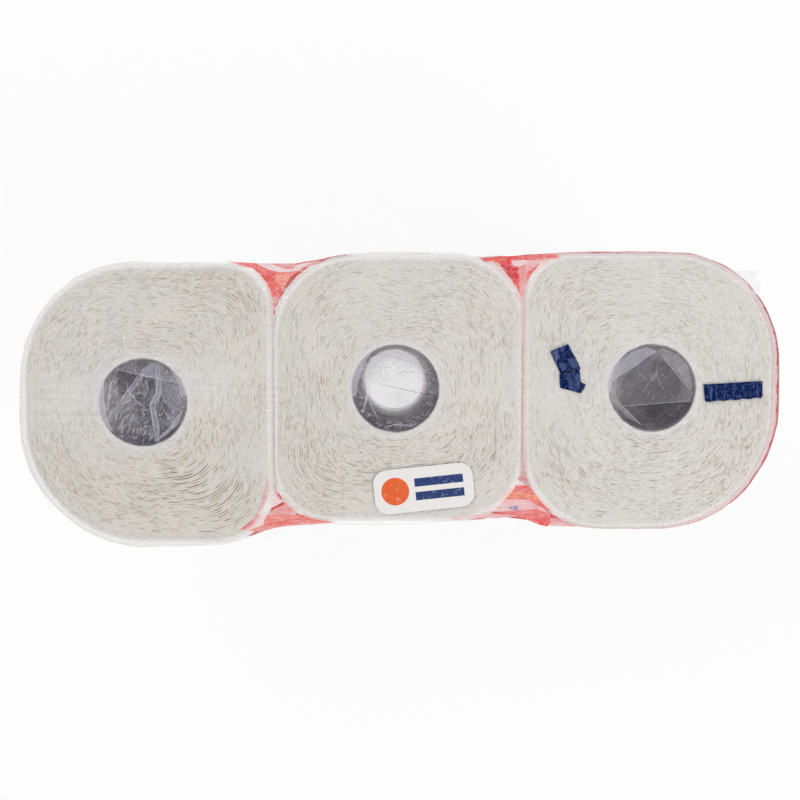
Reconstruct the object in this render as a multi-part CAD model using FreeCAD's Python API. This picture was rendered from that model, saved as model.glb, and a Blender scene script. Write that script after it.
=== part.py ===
# Toilet paper roll pack: six rolls in a sealed film wrap, three side by side in two layers.
# The rolls stand on their ends, so their axes run along Z. The row of three runs along X,
# the pack's front is towards -Y and its back towards +Y. The origin is the middle of the
# footprint, on the surface that the pack stands on. All sizes are in millimetres.
#
# Each roll is a paper winding on a card core. Packing has squeezed the windings from round
# to square, each in its own way, and has pulled the edges of their ends in. The wrap is one
# sheet of film. Its two long edges lap over each other along the middle of the upper end,
# and its left and right ends are folded flat as on a parcel.

import FreeCAD
import Part

import math
import os
from collections import namedtuple

# Rolls
ROLL_HEIGHT = 96.0
LAYERS = 2
LAYER_GAP = 0.2  # between the two layers
ROLL_GAP = 0.3  # between neighbours in a row
END_ROUNDING = 5.0  # radius of the pulled-in edges of a roll's ends

# Cores
CORE_BORE_RADIUS = 19.0
CORE_WALL = 0.8
CORE_GAP = 0.05  # between a core and the first turn of paper

# The spiral gap that shows between the turns at the outward ends
TURNS_SHOWN = 6
TURN_GAP = 0.6
TURN_GAP_DEPTH = 1.2
TURN_INNER_MARGIN = 3.0  # from the core to the first gap
TURN_OUTER_MARGIN = 7.0  # from the last gap to the outer turn

# Wrap. The real film is about 0.04 mm thick, and its thickness here is a stand-in.
FILM = 0.4
FILM_GAP = 0.3  # between the paper and the film
WAIST_DEPTH = 2.0  # how far the film is drawn in between the two layers
VALLEY_BEND_RADIUS = 20.0  # where the film turns out again between two columns
DENT_MARGIN = 1.5  # from a core's bore to the rim of the dent in the film over it
LAP_TILT_DEG = -3.4  # the edge of the lap falls towards the right
LAP_EDGE_Y = 4.5  # where the edge of the lap crosses the middle of the pack

# The flaps at the wrap's left and right ends are trapeziums. Each is widest at its root,
# near the pack's upper or lower end, and reaches past the waist between the layers. The
# upper one lies over the lower one.
FLAP_ROOT_WIDTH = 96.0
FLAP_EDGE_WIDTH = 46.0
UPPER_FLAP_PAST_WAIST = 12.0
LOWER_FLAP_PAST_WAIST = 9.0

# A column is two rolls of one shape, one above the other. Width runs along X and depth
# along Y. Stagger moves the column in Y, and core_shift moves its cores off its middle.
# Corners are the radii at back left, back right, front right and front left. Dent is how
# far the film sinks into the column's core at the upper end.
Column = namedtuple("Column", "name width depth stagger core_shift corners dent")
COLUMNS = [
    Column("left", 112.0, 126.4, -2.0, (-1.8, 0.9), (51.0, 20.0, 26.0, 55.0), 6.0),
    Column("middle", 112.6, 119.7, 4.9, (-1.2, 0.2), (45.0, 30.0, 31.0, 28.0), 1.5),
    Column("right", 113.4, 123.8, 3.4, (1.1, 2.0), (22.0, 47.0, 55.0, 36.0), 3.5),
]

# The film dips into a valley wherever two columns meet. Offset runs to the right from the
# joint between them, and depth inwards from the flatter column's side.
Valley = namedtuple("Valley", "offset depth")
FRONT_VALLEYS = [Valley(10.0, 0.3), Valley(-8.7, 1.8)]
BACK_VALLEYS = [Valley(5.8, 1.0), Valley(-18.0, 1.1)]

CORE_OUTER_RADIUS = CORE_BORE_RADIUS + CORE_WALL
WINDING_BORE_RADIUS = CORE_OUTER_RADIUS + CORE_GAP
ROLLS_BOTTOM = FILM + FILM_GAP
ROLLS_TOP = ROLLS_BOTTOM + LAYERS * ROLL_HEIGHT + (LAYERS - 1) * LAYER_GAP
WRAP_TOP = ROLLS_TOP + FILM_GAP + FILM
LAYER_NAMES = ["lower", "upper"]
TINY = 1e-6  # below this a length counts as nothing

Box = namedtuple("Box", "column left right front back")
Corner = namedtuple("Corner", "x y radius")


def column_boxes():
    """The three columns' extents in a row, before the wrap is centred on the origin."""
    boxes = []
    left = 0.0
    for column in COLUMNS:
        right = left + column.width
        front = column.stagger - column.depth / 2
        boxes.append(Box(column, left, right, front, front + column.depth))
        left = right + ROLL_GAP
    return boxes


def pack_centre(boxes):
    """The middle of the row's extents, which are also the wrap's."""
    front = min(box.front for box in boxes)
    back = max(box.back for box in boxes)
    return (boxes[0].left + boxes[-1].right) / 2, (front + back) / 2


def leaving_corner(box, side, towards, radius, valley_x, valley_y):
    """Where the film turns off a column's side so that it runs straight from the column's
    rounded corner to a valley beside it."""
    level = getattr(box, side)
    outward = -1 if side == "front" else 1
    edge = box.right if towards > 0 else box.left
    centre_x = edge - towards * radius
    run = towards * (valley_x - centre_x)
    rise = outward * (valley_y - level) + radius
    turn = math.atan2(run, rise) - math.acos(radius / math.hypot(run, rise))
    return Corner(centre_x + towards * radius * math.tan(turn / 2), level, radius)


def side_corners(boxes, side, valleys):
    """The film's corners along the front or the back, from left to right."""
    inward, innermost = (1, max) if side == "front" else (-1, min)
    radii = []
    for box in boxes:
        back_left, back_right, front_right, front_left = box.column.corners
        radii.append((front_left, front_right) if side == "front" else (back_left, back_right))
    corners = [Corner(boxes[0].left, getattr(boxes[0], side), radii[0][0])]
    for index, valley in enumerate(valleys):
        first, second = boxes[index : index + 2]
        x = (first.right + second.left) / 2 + valley.offset
        y = innermost(getattr(first, side), getattr(second, side)) + inward * valley.depth
        corners.append(leaving_corner(first, side, 1, radii[index][1], x, y))
        corners.append(Corner(x, y, VALLEY_BEND_RADIUS))
        corners.append(leaving_corner(second, side, -1, radii[index + 1][0], x, y))
    corners.append(Corner(boxes[-1].right, getattr(boxes[-1], side), radii[-1][1]))
    return corners


def wrap_corners(boxes):
    """The line round all three columns, anticlockwise, where the paper's surface lies."""
    front = side_corners(boxes, "front", FRONT_VALLEYS)
    back = side_corners(boxes, "back", BACK_VALLEYS)
    return front + back[::-1]


def unit(dx, dy):
    length = math.hypot(dx, dy)
    return dx / length, dy / length


def neighbours(corners):
    """Each corner with the one before it and the one after it."""
    return zip(corners[-1:] + corners[:-1], corners, corners[1:] + corners[:1])


def offset_corners(corners, distance):
    """The same line moved outwards by a distance, with its bends kept concentric."""
    moved = []
    for before, corner, after in neighbours(corners):
        ax, ay = unit(corner.x - before.x, corner.y - before.y)
        bx, by = unit(after.x - corner.x, after.y - corner.y)
        turn = ax * by - ay * bx
        spread = distance / (1 + ax * bx + ay * by)
        grown = distance if turn > 0 else -distance
        x = corner.x + (ay + by) * spread
        y = corner.y - (ax + bx) * spread
        moved.append(Corner(x, y, corner.radius + grown))
    return moved


def rounded_line(corners, height):
    """A closed wire of straight runs joined by tangent arcs."""
    runs = []
    for before, corner, after in neighbours(corners):
        ax, ay = unit(corner.x - before.x, corner.y - before.y)
        bx, by = unit(after.x - corner.x, after.y - corner.y)
        half_turn = math.atan2(abs(ax * by - ay * bx), ax * bx + ay * by) / 2
        reach = corner.radius * math.tan(half_turn)
        sagitta = corner.radius * (1 / math.cos(half_turn) - 1)
        mx, my = unit(bx - ax, by - ay)
        start = FreeCAD.Vector(corner.x - ax * reach, corner.y - ay * reach, height)
        middle = FreeCAD.Vector(corner.x + mx * sagitta, corner.y + my * sagitta, height)
        end = FreeCAD.Vector(corner.x + bx * reach, corner.y + by * reach, height)
        runs.append((start, middle, end))
    edges = []
    for (start, middle, end), (following, _, _) in zip(runs, runs[1:] + runs[:1]):
        edges.append(Part.Arc(start, middle, end).toShape())
        if end.distanceToPoint(following) > TINY:
            edges.append(Part.LineSegment(end, following).toShape())
    return Part.Wire(edges)


def prism(corners, bottom, top):
    face = Part.Face(rounded_line(corners, bottom))
    return face.extrude(FreeCAD.Vector(0, 0, top - bottom))


def edges_at(solid, height):
    """The solid's edges that lie in one level plane."""
    found = []
    for edge in solid.Edges:
        box = edge.BoundBox
        if box.ZLength < TINY and abs(box.ZMin - height) < TINY:
            found.append(edge)
    return found


def round_edges(solid, height, radius):
    return solid.makeFillet(radius, edges_at(solid, height))


def box_corners(box):
    back_left, back_right, front_right, front_left = box.column.corners
    return [
        Corner(box.left, box.front, front_left),
        Corner(box.right, box.front, front_right),
        Corner(box.right, box.back, back_right),
        Corner(box.left, box.back, back_left),
    ]


def core_centre(box):
    shift_x, shift_y = box.column.core_shift
    return (box.left + box.right) / 2 + shift_x, (box.front + box.back) / 2 + shift_y


def turn_gap(box, height, depth):
    """The spiral gap in a roll's end: a run along each side of the roll in turn, joined by
    arcs, that moves outwards by a quarter of its pitch from one side to the next."""
    x, y = core_centre(box)
    back_left, back_right, front_right, front_left = box.column.corners
    extents = [box.right - x, box.back - y, x - box.left, y - box.front]
    radii = [back_right, back_left, front_left, front_right]
    span = min(extents) - WINDING_BORE_RADIUS
    first = TURN_INNER_MARGIN / span
    last = 1 - TURN_OUTER_MARGIN / span
    quarters = 4 * TURNS_SHOWN
    step = (last - first) / quarters

    def grown(full, quarter):
        share = first + step * quarter
        return WINDING_BORE_RADIUS + (full - WINDING_BORE_RADIUS) * share

    def side_edges(inset):
        edges = []
        last_point = None
        for quarter in range(quarters):
            side = quarter % 4
            radius = grown(radii[side], quarter + 0.5) - inset
            along = grown(extents[side], quarter) - inset - radius
            across = grown(extents[(side + 1) % 4], quarter + 1) - inset - radius
            turn = side * math.pi / 2
            ux, uy = math.cos(turn), math.sin(turn)
            centre = FreeCAD.Vector(x + along * ux - across * uy, y + along * uy + across * ux, height)
            points = []
            for part in (0.0, 0.5, 1.0):
                angle = turn + part * math.pi / 2
                arm = FreeCAD.Vector(math.cos(angle) * radius, math.sin(angle) * radius, 0)
                points.append(centre + arm)
            if last_point is not None and last_point.distanceToPoint(points[0]) > TINY:
                edges.append(Part.LineSegment(last_point, points[0]).toShape())
            edges.append(Part.Arc(*points).toShape())
            last_point = points[-1]
        return edges

    outer = side_edges(0.0)
    inner = side_edges(TURN_GAP)
    caps = []
    for index, vertex in ((0, 0), (-1, -1)):
        ends = [edges[index].Vertexes[vertex].Point for edges in (outer, inner)]
        caps.append(Part.LineSegment(*ends).toShape())
    wire = Part.Wire(Part.__sortEdges__(outer + caps + inner))
    return Part.Face(wire).extrude(FreeCAD.Vector(0, 0, depth))


def layer_bottom(layer):
    return ROLLS_BOTTOM + layer * (ROLL_HEIGHT + LAYER_GAP)


def winding(box, layer):
    """One roll's paper: a squeezed block of turns round the core's bore."""
    bottom = layer_bottom(layer)
    top = bottom + ROLL_HEIGHT
    paper = prism(box_corners(box), bottom, top)
    paper = round_edges(round_edges(paper, bottom, END_ROUNDING), top, END_ROUNDING)
    x, y = core_centre(box)
    bore = Part.makeCylinder(WINDING_BORE_RADIUS, ROLL_HEIGHT, FreeCAD.Vector(x, y, bottom))
    paper = paper.cut(bore)
    if layer == 0:
        paper = paper.cut(turn_gap(box, bottom, TURN_GAP_DEPTH))
    if layer == LAYERS - 1:
        paper = paper.cut(turn_gap(box, top, -TURN_GAP_DEPTH))
    return paper


def core(box, layer):
    """One roll's card tube, as long as the paper is wide."""
    x, y = core_centre(box)
    base = FreeCAD.Vector(x, y, layer_bottom(layer))
    tube = Part.makeCylinder(CORE_OUTER_RADIUS, ROLL_HEIGHT, base)
    return tube.cut(Part.makeCylinder(CORE_BORE_RADIUS, ROLL_HEIGHT, base))


def wrapped_body(corners, away):
    """The rolls grown by a distance, rounded at both ends and drawn in between the layers."""
    line = offset_corners(corners, away)
    waist = WRAP_TOP / 2
    halves = []
    for end in (ROLLS_BOTTOM - away, ROLLS_TOP + away):
        half = prism(line, min(end, waist), max(end, waist))
        half = round_edges(half, end, END_ROUNDING + away)
        halves.append(half.makeChamfer(WAIST_DEPTH, edges_at(half, waist)))
    return halves[0].fuse(halves[1])


def dents(boxes, grown):
    """The balls that press the film into the cores at the upper end."""
    balls = []
    mouth = CORE_BORE_RADIUS - DENT_MARGIN
    for box in boxes:
        x, y = core_centre(box)
        depth = box.column.dent
        radius = (mouth**2 + depth**2) / (2 * depth)
        centre = FreeCAD.Vector(x, y, WRAP_TOP + radius - depth)
        balls.append(Part.makeSphere(radius + grown, centre))
    return balls


def lap(boxes, corners):
    """The second layer of film on the upper end, from the back edge to the lap's edge."""
    flat = prism(offset_corners(corners, -END_ROUNDING), WRAP_TOP, WRAP_TOP + FILM)
    reach = boxes[-1].right - boxes[0].left
    half = Part.makeBox(2 * reach, reach, FILM, FreeCAD.Vector(-reach, 0, WRAP_TOP))
    half.rotate(FreeCAD.Vector(), FreeCAD.Vector(0, 0, 1), LAP_TILT_DEG)
    x, y = pack_centre(boxes)
    half.translate(FreeCAD.Vector(x, y + LAP_EDGE_Y, 0))
    return flat.common(half)


def flap(corners, box, side, layers, root_z, edge_z):
    """A flap of the parcel fold: a trapezium of film that lies on the wrap's side."""
    away = FILM_GAP + FILM
    low, high = sorted((root_z, edge_z))
    outside = prism(offset_corners(corners, away + layers * FILM), low, high)
    skin = outside.cut(prism(offset_corners(corners, away - FILM / 2), low, high))
    middle_x = (box.left + box.right) / 2
    middle_y = (box.front + box.back) / 2
    outline = [
        FreeCAD.Vector(middle_x, middle_y - FLAP_ROOT_WIDTH / 2, root_z),
        FreeCAD.Vector(middle_x, middle_y + FLAP_ROOT_WIDTH / 2, root_z),
        FreeCAD.Vector(middle_x, middle_y + FLAP_EDGE_WIDTH / 2, edge_z),
        FreeCAD.Vector(middle_x, middle_y - FLAP_EDGE_WIDTH / 2, edge_z),
    ]
    face = Part.Face(Part.makePolygon(outline + outline[:1]))
    return skin.common(face.extrude(FreeCAD.Vector(side * box.column.width, 0, 0)))


def folded_ends(boxes, corners):
    """The two flaps at the wrap's left end and the two at its right end."""
    low = END_ROUNDING + FILM_GAP + FILM
    high = WRAP_TOP - low
    waist = WRAP_TOP / 2
    flaps = []
    for box, side in ((boxes[0], -1), (boxes[-1], 1)):
        flaps.append(flap(corners, box, side, 1, low, waist + LOWER_FLAP_PAST_WAIST))
        flaps.append(flap(corners, box, side, 2, high, waist - UPPER_FLAP_PAST_WAIST))
    return flaps


def film_wrap(boxes):
    """The sealed wrap: a hollow skin with its dents, its lap and its folded ends."""
    corners = wrap_corners(boxes)
    outside = wrapped_body(corners, FILM_GAP + FILM)
    outside = outside.fuse([lap(boxes, corners)] + folded_ends(boxes, corners))
    inside = wrapped_body(corners, FILM_GAP).cut(dents(boxes, FILM))
    return outside.cut(dents(boxes, 0.0)).cut(inside)


def build():
    """Every piece by its node name, with the wrap's footprint centred on the origin."""
    boxes = column_boxes()
    pieces = {"film_wrap": film_wrap(boxes)}
    for layer in range(LAYERS):
        for box in boxes:
            place = f"{LAYER_NAMES[layer]}_{box.column.name}"
            pieces[f"paper_roll_{place}"] = winding(box, layer)
            pieces[f"card_core_{place}"] = core(box, layer)
    x, y = pack_centre(boxes)
    for shape in pieces.values():
        shape.translate(FreeCAD.Vector(-x, -y, 0))
    return pieces


def main():
    os.makedirs("parts", exist_ok=True)
    for name, shape in build().items():
        print(name, len(shape.Solids), shape.isValid(), f"{shape.Volume / 1000:.1f} cm3")
        shape.exportStep(f"parts/{name}.step")


main()
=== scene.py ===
import math
from collections import namedtuple

import bmesh
import bpy
import numpy as np
from mathutils import Matrix, Vector, bvhtree, noise


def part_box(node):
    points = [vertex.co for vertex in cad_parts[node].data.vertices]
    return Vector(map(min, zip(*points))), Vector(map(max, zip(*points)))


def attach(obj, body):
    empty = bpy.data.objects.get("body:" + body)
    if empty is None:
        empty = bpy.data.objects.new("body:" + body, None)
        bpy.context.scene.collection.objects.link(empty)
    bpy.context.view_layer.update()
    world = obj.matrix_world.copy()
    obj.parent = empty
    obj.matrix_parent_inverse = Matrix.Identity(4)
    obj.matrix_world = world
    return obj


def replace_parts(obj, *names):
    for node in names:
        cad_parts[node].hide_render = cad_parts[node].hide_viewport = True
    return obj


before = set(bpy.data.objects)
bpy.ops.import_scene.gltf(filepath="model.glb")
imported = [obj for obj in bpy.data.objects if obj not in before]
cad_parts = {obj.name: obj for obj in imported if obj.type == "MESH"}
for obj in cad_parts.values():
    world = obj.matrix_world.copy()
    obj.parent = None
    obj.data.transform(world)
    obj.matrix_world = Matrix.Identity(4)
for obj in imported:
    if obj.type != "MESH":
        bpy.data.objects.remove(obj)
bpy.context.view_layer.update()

# Sizes are in millimetres here, and MM turns them into the scene's metres.
MM = 0.001

# Rolls
TURNS = 40  # turns that show on an upper roll's end
AROUND = 448  # points round a roll
HIDDEN_TURNS = 24  # the same for the lower rolls
HIDDEN_AROUND = 224
SIDE_STEPS = 9
ROLL_OUTLINE_POINTS = 720
QUILTING = 0.34  # how closely the embossed lines on the paper's sides follow each other
END_ROUNDING = 5.0  # the pulled-in edge of a roll's end
EDGE_DROP = 0.1
SIDE_INSET = 0.15  # the winding stays this far inside its solid
BORE_CLEARANCE = 0.05
TURN_PROFILE = [(0.0, 1.0), (0.2, 0.15), (0.5, 0.0), (0.8, 0.15)]  # place in the turn, depth
FAINTEST_BAND = 0.02  # loose turns weaker than this are left out
DEEPEST_GAP = 1.4

# Cores
CORE_WALL = 0.8
CORE_AROUND = 120
CORE_STEPS = 14
SEAM_RISE = 68  # how far the spiral seam climbs in one turn
CORE_SHEET_RINGS = 30
CORE_SHEET_CLEARANCE = 0.9

# Wrap
FILM_ABOVE_PAPER = 0.3
FILM_POINTS = 640  # points round the wrap
ARC_STEPS = 24
VALLEY_BEND_RADIUS = 20.0
ROUNDING_STEPS = 7
TOP_STEPS = 46
WALL_STEPS = 44
BASE_STEPS = 8
SAME_POINT = 0.02  # the film's points nearer than this are joined
GAP_SAG = 0.62  # how steeply the film sinks into the gaps, and how far out that goes on
WIDEST_GAP = 9
WAIST_DEPTH = 2.0
WAIST_HALF_HEIGHT = 9.0
FLAP_ROOT_WIDTH = 96.0  # the folds on the pack's short ends
FLAP_EDGE_WIDTH = 46.0
FLAP_CUTS = 30
UPPER_FLAP_PAST_WAIST = 12.0
LOWER_FLAP_PAST_WAIST = 9.0
SPINE_HALF_LENGTH = 104.0  # the rings of the upper and lower ends shrink to this line
FOLD_CUTS = 5
HAIR = 0.02  # each fold lies this far above the last
PRINT_START = -75.0  # the sides are printed from here to the right

# Light
LIGHT_THROUGH_FILM = 0.8
WORLD_LIGHT = 0.62
LAMP_SIZE = 0.9  # metres
LAMP_POWER = 8.0
FLOOR_HALF_SIDE = 6.0  # metres
FLOOR_GLOW_SHARE = 0.87  # how far the floor shows as plain white

# Camera. The picture's scale and the place of the point that the camera is over, in
# pixels of an 800 pixel square.
PICTURE_SIDE = 800.0
PIXELS_PER_MM = 2.229
CAMERA_ABOVE_PACK = 431.0
NADIR = (391.0, 357.0)
MIDDLE_CORE_PIXEL = (395.5, 388.6)

# A plain panel of print on the film
LABEL_PLACE = (10.9, -40.0)
LABEL_SIZE = (45.0, 20.0)
LABEL_ROUNDING = 6.0
LABEL_POINTS = 60
LABEL_TILT = 6.0
DISC_LEFT_OF_MIDDLE = 13.0

# Where the turns of a roll gape: direction and spread in degrees, how much, and how far
# out from the core, as a share of the way, with a spread of its own.
Loose = namedtuple("Loose", "direction spread amount out width")

# A column's corner radii are at back left, back right, front right and front left, near
# those of the solids. Dent is how far the film sinks over the core's rim.
Column = namedtuple("Column", "name corners dent loose")
COLUMNS = [
    Column("left", (51.0, 20.0, 26.0, 55.0), 5.0, [
        Loose(-64, 22, 1.2, 0.42, 0.3),
        Loose(-47, 12, 1.3, 0.78, 0.16),
        Loose(48, 11, 1.1, 0.82, 0.13),
        Loose(-120, 25, 0.3, 0.7, 0.2),
    ]),
    Column("middle", (38.0, 30.0, 31.0, 26.0), 1.0, [
        Loose(38, 13, 0.5, 0.7, 0.2),
        Loose(-135, 16, 0.4, 0.75, 0.2),
        Loose(-40, 14, 0.35, 0.7, 0.2),
    ]),
    Column("right", (22.0, 47.0, 55.0, 36.0), 2.5, [
        Loose(134, 20, 0.5, 0.62, 0.24),
        Loose(-70, 35, 0.9, 0.05, 0.07),
        Loose(-130, 24, 0.5, 0.7, 0.2),
        Loose(-75, 25, 0.4, 0.6, 0.2),
    ]),
]
Valley = namedtuple("Valley", "offset depth")
FRONT_VALLEYS = [Valley(10.0, 0.3), Valley(-8.7, 1.8)]
BACK_VALLEYS = [Valley(5.8, 1.0), Valley(-18.0, 1.1)]

# Where the film is slack: a patch's middle in pixels of the picture, its reach in pixels,
# and how far it stands off there in millimetres, or how milky it looks.
Patch = namedtuple("Patch", "x y reach amount")
SLACK = [
    Patch(20, 430, 90, 1.9),
    Patch(120, 560, 90, 1.6),
    Patch(80, 270, 60, 0.8),
    Patch(790, 400, 110, 2.2),
    Patch(745, 270, 45, 1.0),
    Patch(400, 245, 60, 1.3),
    Patch(620, 245, 90, 1.0),
    Patch(730, 520, 50, 1.2),
]
MILKY = [
    Patch(560, 395, 48, 0.5),
    Patch(215, 388, 32, 0.5),
    Patch(70, 400, 45, 0.5),
    Patch(90, 290, 50, 0.3),
    Patch(250, 470, 30, 0.25),
    Patch(300, 395, 30, 0.25),
    Patch(400, 268, 60, 0.3),
    Patch(650, 290, 50, 0.25),
    Patch(735, 350, 40, 0.3),
    Patch(640, 500, 60, 0.15),
]

# Pieces of film and print, as outlines in pixels of the picture.
LAP = [(28, 352), (120, 370), (179, 383), (365, 378), (430, 394), (625, 406), (692, 402), (768, 399),
    (762, 340), (735, 295), (690, 272), (560, 275), (400, 272), (250, 280), (120, 285), (60, 315)]
FRONT_FLAP = [(200, 536), (235, 536), (290, 519), (262, 535), (236, 545.5), (205, 545.5)]
CORNER_TAB = [(729, 270), (762, 270), (758, 279), (764, 283), (762, 295), (756, 297), (738, 284)]
RIGHT_MARK = [(704, 384.5), (763.5, 381), (763.5, 396), (762, 398.5), (757, 397.6), (750, 399.4),
    (744, 398.6), (738, 400.4), (731, 399.8), (726, 401), (718, 400.6), (711, 402), (706, 401.5)]
LEFT_MARK = [(550, 351.5), (568, 344), (572, 352), (575, 357), (580.5, 368), (579.3, 370.5), (580, 372.5),
    (580.7, 380.5), (582, 382.5), (586, 384.5), (584.5, 388), (580.7, 393.5), (573, 391), (560.3, 388),
    (559.4, 376), (560, 373), (558, 368), (554, 360)]
# Thin whitish creases of the clear film: partly whitened film and partly painted glints.
CLEAR_CREASES = [  # width in millimetres, and line
    (0.5, [(101, 427), (109, 419)]),
    (0.8, [(178.7, 383.1), (196, 386)]),
    (0.6, [(134, 330), (137, 345), (136, 360)]),
    (0.5, [(120, 318), (127, 345), (138, 362)]),
    # painted reflection: a wide bright smear of gloss beside the left core
    (2.2, [(186, 388), (205, 389), (222, 387)]),
    (0.7, [(268, 540), (285, 528), (330, 524.5), (400, 525), (470, 521)]),
    (0.9, [(28, 330), (24, 400), (30, 470), (52, 512)]),
    (0.8, [(100, 271), (160, 265), (240, 263)]),
]

# Film folded over the gaps between the rolls. Cover is how much it hides.
Fold = namedtuple("Fold", "tint cover outline")
FOLDS = [
    # back, between the left and middle rolls
    Fold("salmon", 0.9, [(228, 262), (246, 263), (262, 264), (300, 264), (321, 261), (300, 271),
        (291, 278), (284, 288), (277, 303), (272, 324), (270, 322), (270, 300), (266, 288), (260, 278),
        (251, 269)]),
    Fold("red", 0.9, [(259, 273), (276, 273), (276, 281), (270, 282), (265, 280)]),
    Fold("coral", 0.9, [(265, 281), (276, 281), (283, 289), (278, 299), (272, 300), (269, 288)]),
    Fold("peach", 0.8, [(277, 276), (289, 274), (291, 278), (284, 287), (277, 282)]),
    Fold("coral", 0.85, [(240, 263), (256, 264), (272, 271), (290, 273), (262, 274), (254, 270)]),
    Fold("milk_and_reflection", 0.85, [(257, 264), (271, 264), (287, 270), (297, 268.5), (290, 272.4), (280, 272.8),
        (270, 270)]),
    Fold("dusty", 0.85, [(276, 264), (299, 264.5), (292, 269), (287, 269.6)]),
    Fold("milk_and_reflection", 0.8, [(292, 272), (296, 266.5), (302, 264), (320, 261.5), (308, 265), (299, 271)]),
    Fold("dusty", 0.85, [(303, 269.5), (310, 264), (318, 261.5), (324, 262), (314, 266)]),
    Fold("mauve", 0.85, [(271, 298), (278, 298), (274, 312), (272, 326), (270.5, 322), (271, 308)]),
    # back, between the middle and right rolls
    Fold("red", 0.92, [(478, 258), (500, 257), (522, 256), (519, 267), (519, 299), (517, 303), (512, 288),
        (500, 272), (490, 265)]),
    Fold("crimson", 0.92, [(496, 265), (513, 266), (518, 267), (518, 278), (506, 279), (500, 271)]),
    Fold("coral", 0.92, [(516, 257), (536, 255), (556, 254), (560, 259), (546, 264), (534, 273),
        (527, 284), (519, 290)]),
    Fold("pink", 0.9, [(519, 267), (528, 268), (526, 284), (524, 302), (522, 322), (520, 305)]),
    Fold("milk_and_reflection", 0.8, [(510.5, 261), (527, 260.5), (530, 263), (519, 267), (513, 266.5)]),
    Fold("blush", 0.8, [(527, 261), (548, 259), (540, 264), (527, 272), (524, 268)]),
    Fold("mauve", 0.8, [(519, 302), (524, 302), (525, 330), (522.5, 345)]),
    # front, between the left and middle rolls
    Fold("dusty", 0.8, [(266, 480), (268, 480), (270, 492), (262, 512), (254, 520), (258, 508)]),
    Fold("milk_and_reflection", 0.9, [(270.5, 487), (273, 489), (276, 497), (282, 502), (278, 505), (268, 510),
        (256, 516), (263, 507), (268, 499)]),
    Fold("dusty", 0.8, [(273, 488), (276, 494), (281, 500), (277, 498), (274, 495)]),
    Fold("pink", 0.9, [(286, 504), (299, 514), (266, 515), (275, 509)]),
    Fold("salmon", 0.92, [(238, 531), (252, 520), (258, 514), (298, 513), (309, 519), (336, 523.5),
        (312, 525), (285, 527), (262, 531), (255, 532)]),
    Fold("red", 0.9, [(240, 530.5), (250, 522), (255, 521), (254, 529)]),
    Fold("coral", 0.9, [(262, 526), (282, 521), (300, 519), (306, 523), (285, 526)]),
    Fold("coral", 0.9, [(295, 514), (306, 517), (312, 521), (300, 519)]),
    Fold("blush", 0.8, [(256, 514.3), (296, 513.3), (296, 515), (258, 516)]),
    # front, between the middle and right rolls
    Fold("mauve", 0.85, [(525, 448), (527, 448), (530, 476), (537, 492), (527, 487), (518, 480),
        (523, 470)]),
    Fold("milk_and_reflection", 0.9, [(518, 480), (526, 486), (522, 488), (511, 487.5)]),
    Fold("coral", 0.92, [(511, 487), (522, 486), (530, 487), (537, 494), (548, 505), (560, 517),
        (544, 509), (530, 502), (502, 500), (506, 493)]),
    Fold("orange", 0.85, [(508, 494), (520, 493), (536, 496), (544, 503), (528, 499), (506, 498)]),
    Fold("blush", 0.9, [(501, 500), (526, 500.5), (541, 507), (552, 516), (525, 514), (484, 512),
        (492, 507)]),
    Fold("violet", 0.85, [(493, 506), (501, 507.5), (494, 510)]),
    Fold("violet", 0.85, [(509, 508), (518, 506.5), (519.5, 512), (512, 511)]),
    Fold("coral", 0.92, [(498, 513), (520, 511.5), (538, 510), (548, 514), (556, 521), (548, 528),
        (540, 526), (528, 521), (516, 518)]),
    Fold("red", 0.92, [(538, 521), (548, 519), (552, 524), (549, 527.5), (541, 526)]),
    Fold("pink", 0.85, [(551, 519), (558, 519), (570, 524.5), (578, 528), (551, 527)]),
    Fold("blush", 0.8, [(452, 519), (490, 514), (518, 517), (500, 519.5), (478, 519), (455, 521.5)]),
]

# The same for clear film in the mouths of the cores, with the light and shade that the film
# takes there painted into the tints: the dark grey folds are painted shade, the paler ones partly
# milky film and partly painted light, and the thin pale creases partly painted highlights. A
# crease is a narrow strip, with its width in millimetres.
CORE_FOLDS = [
    # left core
    Fold("shadow", 0.75, [(117, 370), (139, 376.5), (127, 391), (118.5, 398)]),
    Fold("haze", 0.55, [(143.4, 368), (153.7, 362), (158, 378), (139, 376.5)]),
    Fold("haze", 0.3, [(159, 363), (170, 371), (178, 384), (181, 398), (174, 416), (160, 396)]),
    Fold("shadow", 0.4, [(160, 401), (166, 404), (165, 415), (159, 414)]),
    Fold("haze", 0.3, [(101, 392), (103, 376), (111, 363), (108, 378), (106, 396), (107, 414), (103, 408)]),
    # right core
    Fold("haze", 0.7, [(612.5, 382.5), (657.5, 350.8), (648, 346.5), (636, 350), (622, 360), (614, 372)]),
    Fold("grey_shade", 0.62, [(658, 351), (664, 348), (679, 354), (690, 366), (694, 384), (693, 392)]),
    Fold("grey_shade", 0.5, [(612.5, 385), (617, 400), (643, 425), (630, 419), (618, 405)]),
    Fold("core_shade", 0.72, [(612.5, 381.6), (658, 350.8), (695, 394.6), (692, 401.5), (675, 402.5),
        (656.6, 403.9), (640, 405), (622.5, 406.5), (616, 399)]),
    Fold("haze", 0.16, [(634, 366), (655, 356), (650, 378), (638, 386)]),
    Fold("steel", 0.3, [(651, 375), (657, 374), (657, 381), (652, 381)]),
]
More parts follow.
